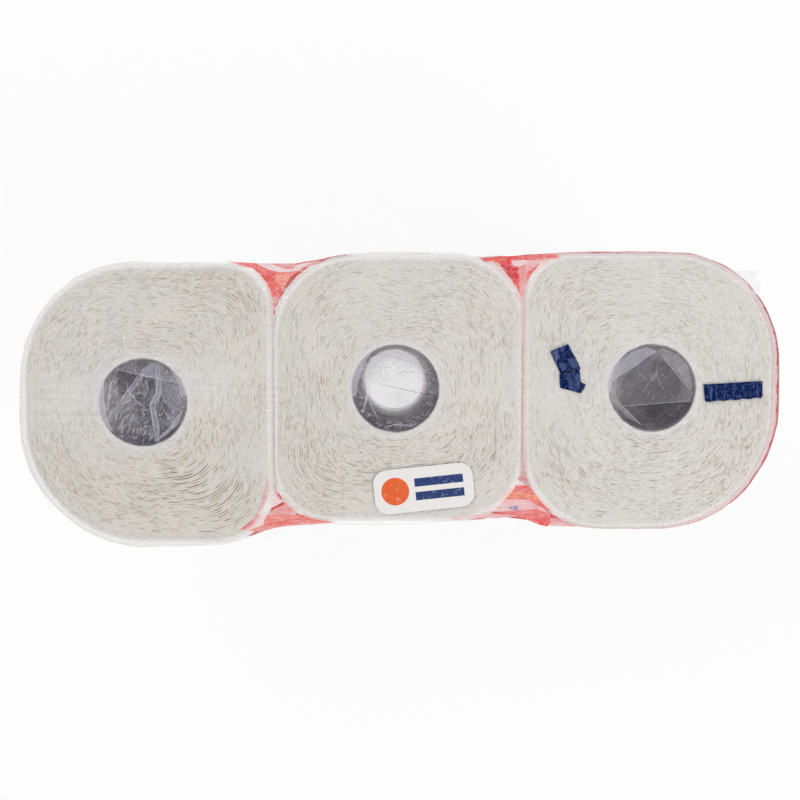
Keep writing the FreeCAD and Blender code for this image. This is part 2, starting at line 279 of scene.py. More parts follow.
MOUTH_HAZE = [
    Fold("frost_and_highlight", 0.5, [(91, 394), (95, 372), (105, 356), (121, 346), (112, 362), (105.5, 379),
        (103.5, 398), (106, 416), (113, 432), (100, 420)]),
    Fold("frost_and_highlight", 0.4, [(170, 366), (184, 374), (204, 384), (190, 394), (181, 398), (178, 384)]),
    Fold("frost_and_highlight", 0.4, [(183, 410), (178, 424), (165, 436), (152, 443), (166, 430), (176, 416)]),
    Fold("frost_and_highlight", 0.4, [(349, 396), (351, 372), (361, 355), (377, 345), (366, 361), (359, 378),
        (356, 396)]),
    Fold("frost_and_highlight", 0.45, [(606, 394), (606, 373), (615, 356), (631, 345), (622, 358), (613.5, 374),
        (611, 392)]),
]
# Paler blue on these facets is painted light, and the dark crease across the mark painted shade.
MARK_FOLDS = [  # facets of the crumpled film that carries the left mark
    Fold("lit_navy", 0.5, [(551, 352.5), (557, 350), (560, 357), (556, 361)]),
    Fold("lit_navy", 0.4, [(568, 359), (574, 357.5), (579.6, 367), (573, 368.6), (569, 365)]),
    Fold("lit_navy", 0.35, [(558.5, 364.5), (563, 362.5), (567, 369), (562, 371.5)]),
    Fold("lit_navy", 0.3, [(566.5, 374.5), (570.5, 373.5), (573.5, 389.5), (569.5, 388.5)]),
    Fold("lit_navy", 0.35, [(575.5, 373.5), (579.5, 374), (580.5, 384), (577.5, 390), (575.5, 389.5)]),
]

Crease = namedtuple("Crease", "tint cover width line")
MARK_CREASES = [
    # painted shade along a crease across the left mark
    Crease("crease_shade", 0.85, 0.55, [(559.8, 375), (565, 372.8), (571, 369.9), (576, 369), (580.2, 368)]),
]
CORE_CREASES = [
    # left core
    Crease("haze", 0.42, 2.3, [(108.8, 421), (128, 393.5), (147, 365.8)]),
    Crease("frost_and_highlight", 0.5, 0.35, [(106.7, 419.6), (125, 393.8), (143.4, 368)]),
    Crease("frost_and_highlight", 0.45, 0.3, [(111, 422.5), (131, 393), (150.7, 363.6)]),
    Crease("haze", 0.5, 3.0, [(156.6, 362), (158.8, 383.7), (158, 393.8), (151.4, 405.3), (155, 424),
        (158, 444)]),
    Crease("frost_and_highlight", 0.5, 0.4, [(155, 362), (157.5, 383), (155.5, 394), (150, 405), (152.5, 424),
        (155.5, 443)]),
    Crease("frost_and_highlight", 0.4, 0.3, [(158.5, 362), (160.5, 383), (160, 394), (154, 406), (157.5, 424),
        (160.5, 442)]),
    Crease("frost_and_highlight", 0.42, 0.9, [(111, 380.8), (109, 396), (106.7, 412.4)]),
    Crease("frost_and_highlight", 0.45, 0.5, [(118, 369.5), (150, 377), (178.7, 383.1)]),
    Crease("frost_and_highlight", 0.5, 0.4, [(126, 381), (127.5, 390), (134, 399), (146, 409)]),
    Crease("frost_and_highlight", 0.45, 0.5, [(145, 380), (148, 388), (143.5, 399)]),
    Crease("frost_and_highlight", 0.4, 0.5, [(121, 428), (122, 420), (128, 415.5), (134, 419)]),
    Crease("frost_and_highlight", 0.4, 0.4, [(160, 404), (167, 416), (175, 425)]),
    # middle core
    Crease("pewter", 0.7, 0.35, [(377.4, 353.3), (398, 358), (419, 365)]),
    Crease("pewter", 0.75, 0.4, [(374, 382.5), (404, 389.5), (433, 396.5)]),
    Crease("frost_and_highlight", 0.6, 0.7, [(368.8, 384.4), (366.5, 398), (363, 412.6)]),
    Crease("frost_and_highlight", 0.55, 0.45, [(368.8, 399), (372, 408), (378, 419)]),
    # painted reflection: the bright streak where the disc at the core's foot shows back in the film
    Crease("milk_and_reflection", 0.5, 1.0, [(386, 404.5), (393, 406.3), (401, 406.3), (410, 403.4)]),
    Crease("frost_and_highlight", 0.4, 0.6, [(384, 428), (396, 424.5), (412, 426), (424, 422)]),
    # right core
    Crease("frost_and_highlight", 0.3, 0.5, [(612.5, 381.6), (636, 366), (658, 350.8)]),
    Crease("frost_and_highlight", 0.4, 0.35, [(659.4, 351.5), (677, 373), (695, 394.6)]),
    Crease("frost_and_highlight", 0.35, 0.3, [(665, 354), (680, 371), (694, 386)]),
    Crease("frost_and_highlight", 0.3, 0.35, [(622.5, 406.5), (640, 405), (656.6, 403.9), (675, 402.5), (692, 401.5)]),
    Crease("frost_and_highlight", 0.5, 0.4, [(616.8, 400.3), (628, 411), (643.8, 426)]),
    Crease("frost_and_highlight", 0.25, 0.5, [(659, 363), (657.5, 374), (661, 383), (665, 389)]),
    Crease("frost_and_highlight", 0.2, 0.5, [(657.5, 375), (648, 385), (643, 393)]),
    Crease("frost_and_highlight", 0.2, 0.4, [(636, 361), (640, 372), (647, 380), (657, 376)]),
]

Corner = namedtuple("Corner", "x y radius")
Roll = namedtuple("Roll", "column low high centre core_radius angles radii")


# Colours


def linear(red, green, blue):
    """A screen colour out of 255 as linear light."""
    shares = (red / 255, green / 255, blue / 255)
    return tuple(((c + 0.055) / 1.055) ** 2.4 if c > 0.04 else c / 12.92 for c in shares)


PAPER_LIGHT = linear(217, 211, 202)
PAPER_COOL = linear(212, 208, 202)
# the ends' paler colour towards the pack's right: painted light
PAPER_PALE = linear(221, 217, 211)
# painted shade down the gaps between a roll's turns
PAPER_GAP_SHADE = linear(140, 120, 72)
PAPER_SIDE = linear(240, 237, 233)
# painted shade in the pressed lines of the sides' embossing
EMBOSS_SHADE = linear(200, 192, 182)
CARD_LIGHT = linear(116, 105, 117)
CARD_DARK = linear(72, 63, 76)
FILM_CLEAR = linear(224, 222, 222)
# painted shade and light on the crumpled film in the cores' mouths, with a painted highlight on its creases
SHADED_FILM = linear(70, 66, 78)
LIT_HAZY_FILM = linear(138, 135, 151)
GREY_LINE = linear(128, 120, 124)
FROST_AND_HIGHLIGHT = linear(196, 193, 208)
# painted light over the gaps between the rolls: bounced light, pink where it has come through the red print
GAP_WHITE = linear(243, 241, 239)
GAP_GREY = linear(226, 214, 209)
GAP_PINK = linear(224, 196, 191)
RED = linear(222, 62, 60)
DEEP_RED = linear(194, 34, 42)
SALMON = linear(240, 160, 142)
ORANGE = linear(238, 130, 60)
FILM_WHITE = linear(240, 236, 236)
NAVY = linear(4, 26, 76)
# painted highlights on the navy print
NAVY_HIGHLIGHT = linear(92, 112, 158)
LABEL_WHITE = linear(232, 229, 227)
LABEL_ORANGE = linear(228, 98, 44)
LABEL_BLUE = linear(34, 56, 112)
TINTS = {
    "red": linear(228, 76, 72),
    "crimson": linear(206, 40, 54),
    "coral": linear(232, 108, 104),
    "salmon": linear(235, 134, 124),
    "peach": linear(240, 160, 138),
    "orange": linear(238, 146, 104),
    "pink": linear(231, 158, 160),
    "blush": linear(236, 190, 190),
    "dusty": linear(222, 158, 162),
    "mauve": linear(206, 158, 160),
    "milk_and_reflection": linear(236, 222, 224),
    "violet": linear(146, 128, 172),
    "frost_and_highlight": linear(214, 212, 219),
    "steel": linear(166, 162, 170),
    "haze": linear(160, 160, 177),
    # painted shade on the film in the cores' mouths
    "grey_shade": linear(142, 137, 148),
    "core_shade": linear(96, 88, 98),
    "shadow": linear(70, 64, 74),
    "pewter": linear(148, 140, 143),
    # painted light and shade on the left mark's crumpled film
    "lit_navy": linear(92, 106, 158),
    "crease_shade": linear(14, 16, 40),
}


# Outlines


def unit(dx, dy):
    length = math.hypot(dx, dy)
    return dx / length, dy / length


def rounded_outline(corners, count):
    """Evenly spaced points along straight runs joined by tangent arcs."""
    points = []
    neighbours = zip(corners[-1:] + corners[:-1], corners, corners[1:] + corners[:1])
    for before, corner, after in neighbours:
        ax, ay = unit(corner.x - before.x, corner.y - before.y)
        bx, by = unit(after.x - corner.x, after.y - corner.y)
        turn = math.atan2(ax * by - ay * bx, ax * bx + ay * by)
        reach = corner.radius * math.tan(abs(turn) / 2)
        side = math.copysign(corner.radius, turn)
        centre_x = corner.x - ax * reach - ay * side
        centre_y = corner.y - ay * reach + ax * side
        for share in np.linspace(0, 1, ARC_STEPS):
            angle = turn * share
            arm_x = ay * side * math.cos(angle) + ax * side * math.sin(angle)
            arm_y = -ax * side * math.cos(angle) + ay * side * math.sin(angle)
            points.append((centre_x + arm_x, centre_y + arm_y))
    points = np.array(points + points[:1])
    lengths = np.concatenate([[0], np.cumsum(np.hypot(*np.diff(points, axis=0).T))])
    at = np.linspace(0, lengths[-1], count, endpoint=False)
    return np.stack([np.interp(at, lengths, points[:, axis]) for axis in (0, 1)], axis=1)


def box_corners(low, high, radii):
    back_left, back_right, front_right, front_left = radii
    return [
        Corner(low[0], low[1], front_left),
        Corner(high[0], low[1], front_right),
        Corner(high[0], high[1], back_right),
        Corner(low[0], high[1], back_left),
    ]


def node_box(node):
    low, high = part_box(node)
    return np.array(low) / MM, np.array(high) / MM


def read_roll(column, layer):
    """A roll's place and outline, from its solids."""
    low, high = node_box(f"paper_roll_{layer}_{column.name}")
    core_low, core_high = node_box(f"card_core_{layer}_{column.name}")
    centre = (core_low + core_high)[:2] / 2
    outline = rounded_outline(box_corners(low, high, column.corners), ROLL_OUTLINE_POINTS) - centre
    angles = np.arctan2(outline[:, 1], outline[:, 0])
    order = np.argsort(angles)
    radii = np.hypot(outline[:, 0], outline[:, 1])[order]
    return Roll(column, low, high, centre, (core_high[0] - core_low[0]) / 2, angles[order], radii)


def outline_radius(roll, angles):
    return np.interp(angles, roll.angles, roll.radii, period=2 * math.pi)


def rim_distance(x, y):
    """How far outside the nearest roll's outline a point is, or inside if negative."""
    distances = []
    for roll in UPPER_ROLLS:
        dx, dy = x - roll.centre[0], y - roll.centre[1]
        distances.append(np.hypot(dx, dy) - outline_radius(roll, np.arctan2(dy, dx)))
    return np.min(distances, axis=0)


def leaving_corner(roll, level, outward, towards, radius, valley_x, valley_y):
    """Where the film turns off a roll's side to run straight to a valley beside it."""
    edge = roll.high[0] if towards > 0 else roll.low[0]
    centre_x = edge - towards * radius
    run = towards * (valley_x - centre_x)
    rise = outward * (valley_y - level) + radius
    turn = math.atan2(run, rise) - math.acos(radius / math.hypot(run, rise))
    return Corner(centre_x + towards * radius * math.tan(turn / 2), level, radius)


def side_corners(rolls, outward, valleys):
    """The corners of the wrap's outline along its back or its front, from left to right."""
    levels = [roll.high[1] if outward > 0 else roll.low[1] for roll in rolls]
    radii = []
    for roll in rolls:
        back_left, back_right, front_right, front_left = roll.column.corners
        radii.append((back_left, back_right) if outward > 0 else (front_left, front_right))
    corners = [Corner(rolls[0].low[0], levels[0], radii[0][0])]
    for index, valley in enumerate(valleys):
        first, second = rolls[index : index + 2]
        x = (first.high[0] + second.low[0]) / 2 + valley.offset
        y = outward * (min(outward * levels[index], outward * levels[index + 1]) - valley.depth)
        corners.append(leaving_corner(first, levels[index], outward, 1, radii[index][1], x, y))
        corners.append(Corner(x, y, VALLEY_BEND_RADIUS))
        corners.append(leaving_corner(second, levels[index + 1], outward, -1, radii[index + 1][0], x, y))
    return corners + [Corner(rolls[-1].high[0], levels[-1], radii[-1][1])]


def wrap_outline(rolls):
    front = side_corners(rolls, -1, FRONT_VALLEYS)
    back = side_corners(rolls, 1, BACK_VALLEYS)
    return rounded_outline(front + back[::-1], FILM_POINTS)


UPPER_ROLLS = [read_roll(column, "upper") for column in COLUMNS]
LOWER_ROLLS = [read_roll(column, "lower") for column in COLUMNS]
PAPER_TOP = float(UPPER_ROLLS[0].high[2])
PAPER_BASE = float(LOWER_ROLLS[0].low[2])
FILM_TOP = PAPER_TOP + FILM_ABOVE_PAPER
MIDDLE_CORE = UPPER_ROLLS[1].centre


def seen_at(pixel_x, pixel_y):
    """The place on the pack's upper end that a pixel of the picture shows."""
    x = MIDDLE_CORE[0] + (pixel_x - MIDDLE_CORE_PIXEL[0]) / PIXELS_PER_MM
    y = MIDDLE_CORE[1] - (pixel_y - MIDDLE_CORE_PIXEL[1]) / PIXELS_PER_MM
    return x, y


def all_seen_at(pixels):
    return [seen_at(*pixel) for pixel in pixels]


# Noise and steps on arrays


def noise_at(x, y, z):
    x, y, z = np.broadcast_arrays(x, y, z)
    flat = zip(x.ravel().tolist(), y.ravel().tolist(), z.ravel().tolist())
    return np.array([noise.noise(point) for point in flat]).reshape(x.shape)


def cos_and_sin(degrees):
    return math.cos(math.radians(degrees)), math.sin(math.radians(degrees))


def smooth_step(value, low, high):
    share = np.clip((value - low) / (high - low), 0, 1)
    return share * share * (3 - 2 * share)


# Meshes


def add_object(name, data):
    item = bpy.data.objects.new(name, data)
    bpy.context.scene.collection.objects.link(item)
    return item


def add_piece(name, mesh, material):
    piece = add_object(name, mesh)
    mesh.materials.append(material)
    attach(piece, "root")
    return piece


def mesh_from(name, points, faces, attributes):
    mesh = bpy.data.meshes.new(name)
    mesh.from_pydata((points * MM).tolist(), [], faces.tolist())
    for key, values in attributes.items():
        layer = mesh.attributes.new(key, "FLOAT", "POINT")
        layer.data.foreach_set("value", np.asarray(values, dtype=np.float32).ravel())
    mesh.shade_smooth()
    return mesh


def merged_mesh(name, parts):
    """One mesh of several parts, each with its own points and faces."""
    starts = np.cumsum([0] + [len(points) for points, _ in parts])
    points = np.concatenate([points for points, _ in parts])
    faces = np.concatenate([faces + start for (_, faces), start in zip(parts, starts)])
    return mesh_from(name, points, faces, {})


def ring_faces(rings, around, closed):
    """Quads between neighbouring rings of points, and from the last to the first if closed."""
    row = np.arange(rings if closed else rings - 1)[:, None]
    column = np.arange(around)[None, :]
    after = (row + 1) % rings
    beside = (column + 1) % around
    corners = [row * around + column, after * around + column]
    corners += [after * around + beside, row * around + beside]
    return np.stack([np.broadcast_to(c, (len(row), around)) for c in corners], axis=-1).reshape(-1, 4)


def round_axis(roll, radius, angles, height):
    """Points at a distance from a roll's axis."""
    x = roll.centre[0] + radius * np.cos(angles)
    y = roll.centre[1] + radius * np.sin(angles)
    return np.stack([x, y, height], axis=-1).reshape(-1, 3)


def end_rings(roll, angles, reach, turns, seed):
    """The turns on a roll's end, from the core outwards: radius, depth below the end's
    plane, and how far each point is down in a gap."""
    radii, depths, gaps = [], [], []
    cos, sin = np.cos(angles), np.sin(angles)
    start = roll.core_radius
    for turn in range(turns):
        share = turn / turns
        base = start + (reach - start) * share
        x, y = cos * base, sin * base
        gape = 0.8 * smooth_step(noise_at(x / 3.6, y / 3.6, turn * 1.7 + seed), 0.16, 0.5)
        for place in roll.column.loose:
            away = (np.degrees(angles) - place.direction + 180) % 360 - 180
            band = place.amount * math.exp(-(((share - place.out) / place.width) ** 2))
            if band > FAINTEST_BAND:
                patch = smooth_step(noise_at(x / 7, y / 7, turn * 0.9 + seed + 9), -0.2, 0.3)
                gape = gape + band * np.exp(-((away / place.spread) ** 2)) * patch
        stands = 0.14 * noise_at(x / 5, y / 5, turn * 2.3 + seed) + 0.1 * noise.noise((turn * 3.1, seed, 0))
        pitch = (reach - start) / turns
        for place, depth in TURN_PROFILE[:: 1 if turns > HIDDEN_TURNS else 2]:
            sway = 0.32 * noise_at(x / 16, y / 16, (turn + place) * 0.3 + seed)
            radii.append(base + pitch * (place + sway * min(1, share * 8)))
            depths.append(0.12 + depth * (0.1 + 0.55 * gape) - (1 - depth) * stands)
            gaps.append(depth * np.clip(gape, 0, DEEPEST_GAP))
    return radii, depths, gaps


def winding(roll, layer, turns, around, seed, material):
    """A roll's paper, with the edges of its turns on the end that faces outwards."""
    angles = np.linspace(-math.pi, math.pi, around, endpoint=False)
    cos, sin = np.cos(angles), np.sin(angles)
    outer = outline_radius(roll, angles) - SIDE_INSET
    top, base = roll.high[2], roll.low[2]
    end, other, up = (top, base, 1) if layer == "upper" else (base, top, -1)
    reach = outer - END_ROUNDING
    rows = []  # radius, height, turn, gap, end

    def add(radius, height, turn, gap, on_end):
        values = (radius, height, turn, gap, on_end)
        rows.append([np.broadcast_to(value, angles.shape).astype(float) for value in values])

    bore = roll.core_radius + BORE_CLEARANCE
    add(bore, other, 0, 0, 0)
    add(bore, end - up * 1.0, 0, 0, 0)
    rings = list(zip(*end_rings(roll, angles, reach, turns, seed)))
    for index, (radius, depth, gap) in enumerate(rings):
        add(radius, end - up * depth, turns * index / len(rings), gap, 1)
    for step in range(ROUNDING_STEPS):
        angle = math.pi / 2 * step / (ROUNDING_STEPS - 1)
        pucker = 0.25 * noise_at(cos * 9, sin * 9, step * 0.4 + seed) * math.sin(2 * angle)
        out = END_ROUNDING * math.sin(angle)
        height = end - up * (END_ROUNDING * (1 - math.cos(angle)) + EDGE_DROP)
        on_end = smooth_step(math.cos(angle), 0.5, 0.97)
        add(reach + out + np.minimum(pucker, 0), height, turns + out, 0, on_end)
    for share in np.linspace(0.06, 0.94, SIDE_STEPS):
        height = end + (other - end) * share
        dent = 0.5 * noise_at(cos * 2, sin * 2, height / 30 + seed)
        add(outer + np.minimum(dent, 0), height, turns, 0, 0)
    add(outer, other + up * END_ROUNDING, turns, 0, 0)
    add(outer - END_ROUNDING * 0.3, other + up * END_ROUNDING * 0.3, turns, 0, 0)
    add(outer - END_ROUNDING, other, turns, 0, 1)
    add((bore + outer) / 2, other, turns / 2, 0, 1)

    data = np.array(rows)
    radius, height, turn, gap, on_end = (data[:, index] for index in range(5))
    faces = ring_faces(len(rows), around, closed=True)[:, ::up]
    lap = np.broadcast_to(angles * outer.mean(), radius.shape)
    attributes = {"turn": turn, "gap": gap, "end": on_end, "lap": lap}
    name = f"paper_{layer}_{roll.column.name}"
    mesh = mesh_from(name, round_axis(roll, radius, angles, height), faces, attributes)
    piece = add_piece(name, mesh, material)
    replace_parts(piece, f"paper_roll_{layer}_{roll.column.name}")


def card_tube(roll, layer, seed, material):
    """A core: a thin tube whose upper cut end is slightly uneven."""
    node = f"card_core_{layer}_{roll.column.name}"
    low, high = node_box(node)
    base, top = low[2], high[2]
    outer = (high[0] - low[0]) / 2
    inner = outer - CORE_WALL
    angles = np.linspace(-math.pi, math.pi, CORE_AROUND, endpoint=False)
    cos, sin = np.cos(angles), np.sin(angles)
    ragged = 0.25 * np.abs(noise_at(cos * 4, sin * 4, seed))
    rows = [(outer, top - 0.3 - ragged), (outer - 0.1, top - ragged), (inner + 0.1, top - ragged)]
    for level in np.linspace(base + 0.4, top - 0.4, CORE_STEPS)[::-1]:
        rows.append((inner + 0.15 * noise_at(cos, sin, level / 18 + seed), level))
    rows += [(inner + 0.1, base), (outer - 0.1, base), (outer, base + 0.3)]
    radius, height = (np.array([np.broadcast_to(row[i], angles.shape) for row in rows]) for i in (0, 1))
    radius = np.minimum(radius, outer)
    faces = ring_faces(len(rows), CORE_AROUND, closed=True)[:, ::-1]
    turn = np.broadcast_to(angles / (2 * math.pi), radius.shape)
    name = f"core_{layer}_{roll.column.name}"
    mesh = mesh_from(name, round_axis(roll, radius, angles, height), faces, {"turn": turn})
    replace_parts(add_piece(name, mesh, material), node)


# The film


def film_height(x, y):
    """Height of the film over the pack's upper end."""
    rim = rim_distance(x, y)
    ripple = 0.22 * noise_at(x / 7, y / 7, 3.0) + 0.1 * noise_at(x / 2.6, y / 2.6, 8.0)
    height = FILM_TOP + np.maximum(ripple, 0) + 0.05
    sag = GAP_SAG * np.clip(rim, 0, WIDEST_GAP)
    folds = 1 + 0.5 * noise_at(x / 5, y / 9, 20.0)
    height = height - sag * folds
    for roll in UPPER_ROLLS:
        bore = roll.core_radius - CORE_WALL
        distance = np.hypot(x - roll.centre[0], y - roll.centre[1])
        inside = np.clip(1 - (distance / bore) ** 2, 0, 1) ** 0.6
        crumple = 1 + 0.5 * noise_at(x / 6, y / 6, roll.centre[0])
        height = height - roll.column.dent * inside * crumple
    return height


def over_film(lift):
    return lambda x, y: film_height(x, y) + lift


def flat_at(height):
    return lambda x, y: np.full(np.shape(x), height)


def patch_sum(patches, x, y):
    """The patches' amounts at each point, fading out from their middles."""
    total = np.zeros(np.shape(x))
    for patch in patches:
        middle_x, middle_y = seen_at(patch.x, patch.y)
        away = ((x - middle_x) ** 2 + (y - middle_y) ** 2) / (patch.reach / PIXELS_PER_MM) ** 2
        total = total + patch.amount * np.exp(-away)
    return total


def film_shell(outline, material):
    """The whole wrap, from the line along the middle of its upper end, out over the rolls'
    edges, down the sides and in again underneath."""
    offset = FILM_ABOVE_PAPER
    before, after = np.roll(outline, 1, axis=0), np.roll(outline, -1, axis=0)
    along = after - before
    normal = np.stack([along[:, 1], -along[:, 0]], axis=1) / np.hypot(*along.T)[:, None]
    lengths = np.cumsum(np.hypot(*along.T)) / 2
    slack = patch_sum(SLACK, outline[:, 0], outline[:, 1]) + 0.35 * (1 + noise_at(lengths / 9, 0.0, 12.0))
    skin = outline + normal * (offset + slack)[:, None]
    rounding = END_ROUNDING + offset
    edge = skin - normal * rounding
    spine_x = np.clip(edge[:, 0], -SPINE_HALF_LENGTH, SPINE_HALF_LENGTH)
    spine_y = (outline[:, 1].min() + outline[:, 1].max()) / 2
    spine = np.stack([spine_x, np.full(len(edge), spine_y)], axis=1)
    top, base = FILM_TOP, PAPER_BASE - offset
    waist = (PAPER_TOP + PAPER_BASE) / 2
    rows = []

    def add(plan, height):
        rows.append(np.concatenate([plan, np.broadcast_to(height, (len(plan),))[:, None]], axis=1))

    for share in np.linspace(0, 1, TOP_STEPS):
        plan = spine + (edge - spine) * share
        add(plan, film_height(plan[:, 0], plan[:, 1]))
    lowered = rows[-1][:, 2] - top
    for step in range(1, ROUNDING_STEPS):
        angle = math.pi / 2 * step / (ROUNDING_STEPS - 1)
        out = edge + normal * rounding * math.sin(angle)
        pucker = 0.35 * noise_at(lengths / 5, step * 0.5, 4.0) * math.sin(2 * angle)
        out = out + normal * np.maximum(pucker, 0)[:, None]
        add(out, top - rounding * (1 - math.cos(angle)) + lowered * math.cos(angle))
    for height in np.linspace(top - rounding, base + rounding, WALL_STEPS)[1:]:
        drawn_in = WAIST_DEPTH * np.exp(-(((height - waist) / WAIST_HALF_HEIGHT) ** 2))
        ripple = 0.5 * noise_at(lengths / 16, height / 34, 5.0)
        ripple = ripple + 0.25 * noise_at(lengths / 6, height / 22, 6.0)
        room = min(drawn_in, max(0.0, END_ROUNDING - abs(height - waist)))
        out = skin + normal * (np.maximum(ripple, 0) - room)[:, None]
        add(out, height)
    for step in range(1, ROUNDING_STEPS):
        angle = math.pi / 2 * (1 - step / (ROUNDING_STEPS - 1))
        add(edge + normal * rounding * math.sin(angle), base + rounding * (1 - math.cos(angle)))
    for share in np.linspace(1, 0, BASE_STEPS)[1:]:
        add(spine + (edge - spine) * share, base)

    points = np.concatenate(rows)
    x, y = points[:, 0], points[:, 1]
    attributes = {"rim": rim_distance(x, y), "milky": patch_sum(MILKY, x, y)}
    mesh = mesh_from("film", points, ring_faces(len(rows), len(outline), closed=False), attributes)
    work = bmesh.new()
    work.from_mesh(mesh)
    bmesh.ops.remove_doubles(work, verts=work.verts, dist=SAME_POINT * MM)
    work.to_mesh(mesh)
    work.free()
    piece = add_piece("film", mesh, material)
    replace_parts(piece, "film_wrap")
    return piece


def filled_outline(outline, cuts):
    """Points and triangles that fill an outline, fine enough to be draped."""
    work = bmesh.new()
    work.faces.new([work.verts.new((x, y, 0)) for x, y in outline])
    bmesh.ops.triangulate(work, faces=work.faces[:])
    bmesh.ops.subdivide_edges(work, edges=work.edges[:], cuts=cuts, use_grid_fill=True)
    bmesh.ops.triangulate(work, faces=work.faces[:])
    work.verts.index_update()
    points = np.array([vert.co[:] for vert in work.verts])
    faces = np.array([[vert.index for vert in face.verts] for face in work.faces])
    work.free()
    return points, faces


def draped_sheet(name, outlines, cuts, height_at, material, tints=(), lift_each=0.0):
    """Thin layers of film with crisp edges, laid over the wrap's upper end."""
    parts = []
    for index, outline in enumerate(outlines):
        points, faces = filled_outline(outline, cuts)
        points[:, 2] = height_at(points[:, 0], points[:, 1]) + lift_each * index
        parts.append((points, faces))
    mesh = merged_mesh(name, parts)
    if tints:
        colours = [tint for tint, (points, _) in zip(tints, parts) for _ in points]
        layer = mesh.attributes.new("tint", "FLOAT_COLOR", "POINT")
        layer.data.foreach_set("color", np.array(colours, dtype=np.float32).ravel())
    add_piece(name, mesh, material)


def ribbon(line, width):
    """The outline of a narrow strip along a line of pixels."""
    line = np.array(all_seen_at(line))
    along = np.gradient(line, axis=0)
    across = np.stack([-along[:, 1], along[:, 0]], axis=1) / np.hypot(*along.T)[:, None]
    taper = np.full(len(line), width / 2)
    taper[[0, -1]] = width / 6
    left, right = line + across * taper[:, None], line - across * taper[:, None]
    return [tuple(point) for point in np.concatenate([left, right[::-1]])]


def tinted_sheet(name, folds, creases, height_at, material):
    """Folds and creases of film, each with its own tint, and each a hair above the last."""
    outlines = [all_seen_at(fold.outline) for fold in folds]
    outlines += [ribbon(crease.line, crease.width) for crease in creases]
    tints = [(*TINTS[fold.tint], fold.cover) for fold in [*folds, *creases]]
    draped_sheet(name, outlines, FOLD_CUTS, height_at, material, tints, HAIR)


def core_sheet(name, roll, depth, crumple, seed, material):
    """Film sunk into the mouth of a core."""
    radius = np.linspace(0.02, 1, CORE_SHEET_RINGS)[:, None] * (roll.core_radius - CORE_SHEET_CLEARANCE)
    angles = np.linspace(0, 2 * math.pi, CORE_AROUND, endpoint=False)[None, :]
    x = roll.centre[0] + radius * np.cos(angles)
    y = roll.centre[1] + radius * np.sin(angles)
    share = radius / radius.max()
    ridges = np.abs(noise_at(x / 5, y / 7, seed)) + 0.5 * np.abs(noise_at(x / 2.4, y / 2.8, seed + 4))
    sunk = depth * np.sqrt(np.clip(1 - share**2, 0, 1)) * (1 + 0.4 * noise_at(x / 8, y / 8, seed + 7))
    height = PAPER_TOP - 0.6 - sunk - crumple * ridges * (0.2 + 0.8 * (1 - share))
    points = np.stack([x, y, height], axis=-1).reshape(-1, 3)
    faces = ring_faces(CORE_SHEET_RINGS, CORE_AROUND, closed=False)
    add_piece(name, mesh_from(name, points, faces, {}), material)


def end_flaps(film, side, material):
    """The wrap's end: an upper and a lower flap, folded over each other at the waist."""
    vertices = [vert.co.copy() for vert in film.data.vertices]
    polygons = [tuple(polygon.vertices) for polygon in film.data.polygons]
    skin = bvhtree.BVHTree.FromPolygons(vertices, polygons)
    middle = (PAPER_TOP + PAPER_BASE) / 2
    root, tip = FLAP_ROOT_WIDTH / 2, FLAP_EDGE_WIDTH / 2
    flaps = [
        (PAPER_BASE + 2, middle + LOWER_FLAP_PAST_WAIST, 0.35),
        (PAPER_TOP - 2, middle - UPPER_FLAP_PAST_WAIST, 0.7),
    ]
    parts = []
    for root_height, tip_height, lift in flaps:
        outline = [(-root, root_height), (root, root_height), (tip, tip_height), (-tip, tip_height)]
        points, faces = filled_outline(outline, FLAP_CUTS)
        for point in points:
            across, height = point[0], point[1]
            hit = skin.ray_cast(Vector((side * 300, across, height)) * MM, Vector((-side, 0, 0)))[0]
            point[:] = (hit.x / MM + side * lift, across, height)
        parts.append((points, faces))
    name = "film_end_flaps_left" if side < 0 else "film_end_flaps_right"
    add_piece(name, merged_mesh(name, parts), material)


# Materials


class Value:
    """A number, vector or colour that a material's nodes work out."""

    def __init__(self, graph, socket):
        self.graph = graph
        self.socket = socket

    def __add__(self, other):
        return self.graph.math("ADD", self, other)

    def __sub__(self, other):
        return self.graph.math("SUBTRACT", self, other)

    def __rsub__(self, other):
        return self.graph.math("SUBTRACT", other, self)

    def __mul__(self, other):
        return self.graph.math("MULTIPLY", self, other)

    def __abs__(self):
        return self.graph.math("ABSOLUTE", self)

    def scaled(self, by, plus):
        return self.graph.math("MULTIPLY_ADD", self, by, plus)

    def put_in(self, function):
        return self.graph.math(function, self)


